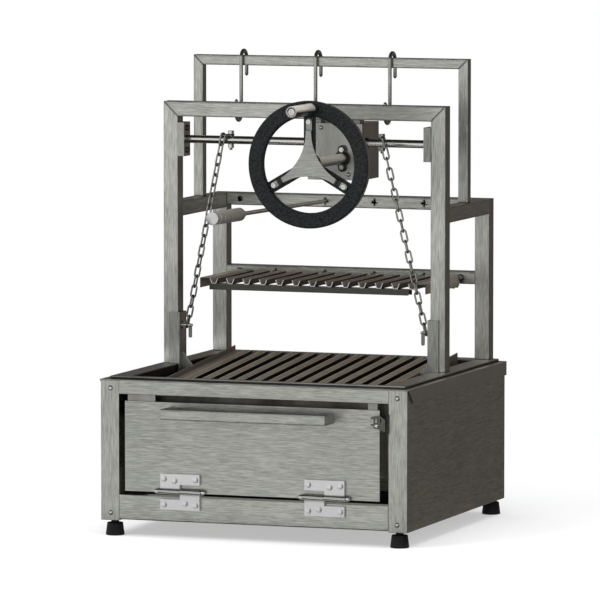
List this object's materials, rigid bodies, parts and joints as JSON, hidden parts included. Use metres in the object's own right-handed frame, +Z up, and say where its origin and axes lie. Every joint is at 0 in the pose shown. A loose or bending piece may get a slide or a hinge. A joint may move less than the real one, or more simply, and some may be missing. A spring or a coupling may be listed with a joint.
{
  "type": "parrilla grill",
  "caption": "Charcoal grill with a cabinet base, drop-down door, hand-wound sloped V-bar grate on chains, warming grate and meat hooks.",
  "frame": {"origin": "on the floor, under the middle of the overall box", "axes": "+Z up, the door and handwheel face -Y, +X to the right of someone facing the door"},
  "size_m": [0.6414, 0.664, 0.9388],
  "materials": {
    "brushed_sheet": "brushed stainless steel sheet and tube",
    "dull_sheet": "dull darker steel",
    "polished_steel": "bright turned steel",
    "plain_steel": "plain steel wire and rod",
    "grate_steel": "folded steel with a warm brown tone",
    "black_hammertone": "black hammered paint",
    "rubber": "black rubber"
  },
  "bodies": {
    "frame": {"side_panels": "brushed_sheet", "rear_panel": "brushed_sheet", "floor_panel": "dull_sheet", "top_rail": "brushed_sheet", "sill": "brushed_sheet", "top_surround": "brushed_sheet", "fire_pan": "dull_sheet", "door_stops": "dull_sheet", "frame_screws": "polished_steel", "feet": "rubber", "hinge_leaves_fixed": "polished_steel", "hinge_pins": "polished_steel", "sill_screws": "polished_steel", "latch_keeper": "dull_sheet", "front_uprights": "brushed_sheet", "crossbar": "brushed_sheet", "rear_uprights": "brushed_sheet", "side_rails": "brushed_sheet", "rear_rails": "brushed_sheet", "hanging_posts": "brushed_sheet", "hanging_bar": "brushed_sheet", "shaft_blocks": "dull_sheet", "block_bolts": "polished_steel", "gearbox_case": "dull_sheet", "gearbox_front": "brushed_sheet", "gearbox_screws": "polished_steel", "hub_bearing": "polished_steel", "bearing_bolts": "polished_steel", "chain_left": "plain_steel", "chain_right": "plain_steel"},
    "door": {"door_panel": "brushed_sheet", "door_handle": "brushed_sheet", "hinge_leaves_moving": "polished_steel", "hinge_screws": "polished_steel", "latch_rivet": "polished_steel"},
    "latch": {"turn_latch": "plain_steel"},
    "winch": {"winch_shaft": "polished_steel", "worm_gear": "plain_steel", "shaft_collar": "plain_steel", "chain_bolts": "polished_steel"},
    "handwheel": {"wheel_shaft": "polished_steel", "wheel_ring": "black_hammertone", "star_plate": "brushed_sheet", "star_screws": "polished_steel", "knob_spindle": "polished_steel"},
    "knob": {"crank_knob": "polished_steel"},
    "main_grate": {"grate_bars": "grate_steel", "grate_frame": "grate_steel", "sliders": "brushed_sheet", "chain_pins": "polished_steel"},
    "tab_left": {"drop_tab_left": "plain_steel"},
    "tab_right": {"drop_tab_right": "plain_steel"},
    "warming_grate": {"warming_bars": "grate_steel", "warming_frame": "grate_steel"},
    "left_hook": {"hook_left": "plain_steel"},
    "middle_hook": {"hook_middle": "plain_steel"},
    "right_hook": {"hook_right": "plain_steel"},
    "skewer": {"skewer_rod": "polished_steel", "skewer_grip": "dull_sheet", "skewer_cap": "polished_steel"}
  },
  "joints": [
    {"name": "door_hinge", "type": "hinge", "parent": "frame", "child": "door", "pos_m": [0, -0.2853, 0.0933], "axis": [1, 0, 0], "range_deg": [0, 90]},
    {"name": "latch_turn", "type": "hinge", "parent": "door", "child": "latch", "pos_m": [0.2555, -0.279, 0.238], "axis": [0, -1, 0], "range_deg": [0, 90]},
    {"name": "grate_lift", "type": "slide", "parent": "frame", "child": "main_grate", "axis": [0, 0, 1], "range_m": [0, 0.125], "deforming": ["chain_left", "chain_right"]},
    {"name": "winch_turn", "type": "hinge", "parent": "frame", "child": "winch", "pos_m": [0, 0.0263, 0.7641], "axis": [-1, 0, 0], "range_deg": [0, 624]},
    {"name": "wheel_turn", "type": "hinge", "parent": "frame", "child": "handwheel", "pos_m": [0.0835, 0.0263, 0.7335], "axis": [0, 1, 0], "range_deg": [0, 4984]},
    {"name": "knob_spin", "type": "hinge", "parent": "handwheel", "child": "knob", "pos_m": [0.09232, -0.2537, 0.84315], "axis": [0, 1, 0], "continuous": true},
    {"name": "drop_tab_left_swing", "type": "hinge", "parent": "main_grate", "child": "tab_left", "pos_m": [-0.246, 0.0263, 0.39075], "axis": [0, -1, 0], "range_deg": [0, 90]},
    {"name": "drop_tab_right_swing", "type": "hinge", "parent": "main_grate", "child": "tab_right", "pos_m": [0.246, 0.0263, 0.39075], "axis": [0, 1, 0], "range_deg": [0, 90]},
    {"name": "warming_grate_slide", "type": "slide", "parent": "frame", "child": "warming_grate", "axis": [0, -1, 0], "range_m": [0, 0.03]},
    {"name": "left_hook_swing", "type": "hinge", "parent": "frame", "child": "left_hook", "pos_m": [-0.187, 0.1769, 0.9256], "axis": [0, 1, 0], "range_deg": [-30, 30]},
    {"name": "middle_hook_swing", "type": "hinge", "parent": "frame", "child": "middle_hook", "pos_m": [-0.028, 0.1769, 0.9256], "axis": [0, 1, 0], "range_deg": [-30, 30]},
    {"name": "right_hook_swing", "type": "hinge", "parent": "frame", "child": "right_hook", "pos_m": [0.1295, 0.1769, 0.9256], "axis": [0, 1, 0], "range_deg": [-30, 30]},
    {"name": "skewer_pull", "type": "slide", "parent": "frame", "child": "skewer", "axis": [-0.0958, -0.9954, 0], "range_m": [0, 0.06]}
  ],
  "couplings": [
    {"joint": "winch_turn", "follows": "grate_lift", "rad_per_m": 86.957},
    {"joint": "wheel_turn", "follows": "grate_lift", "rad_per_m": 695.65}
  ]
}
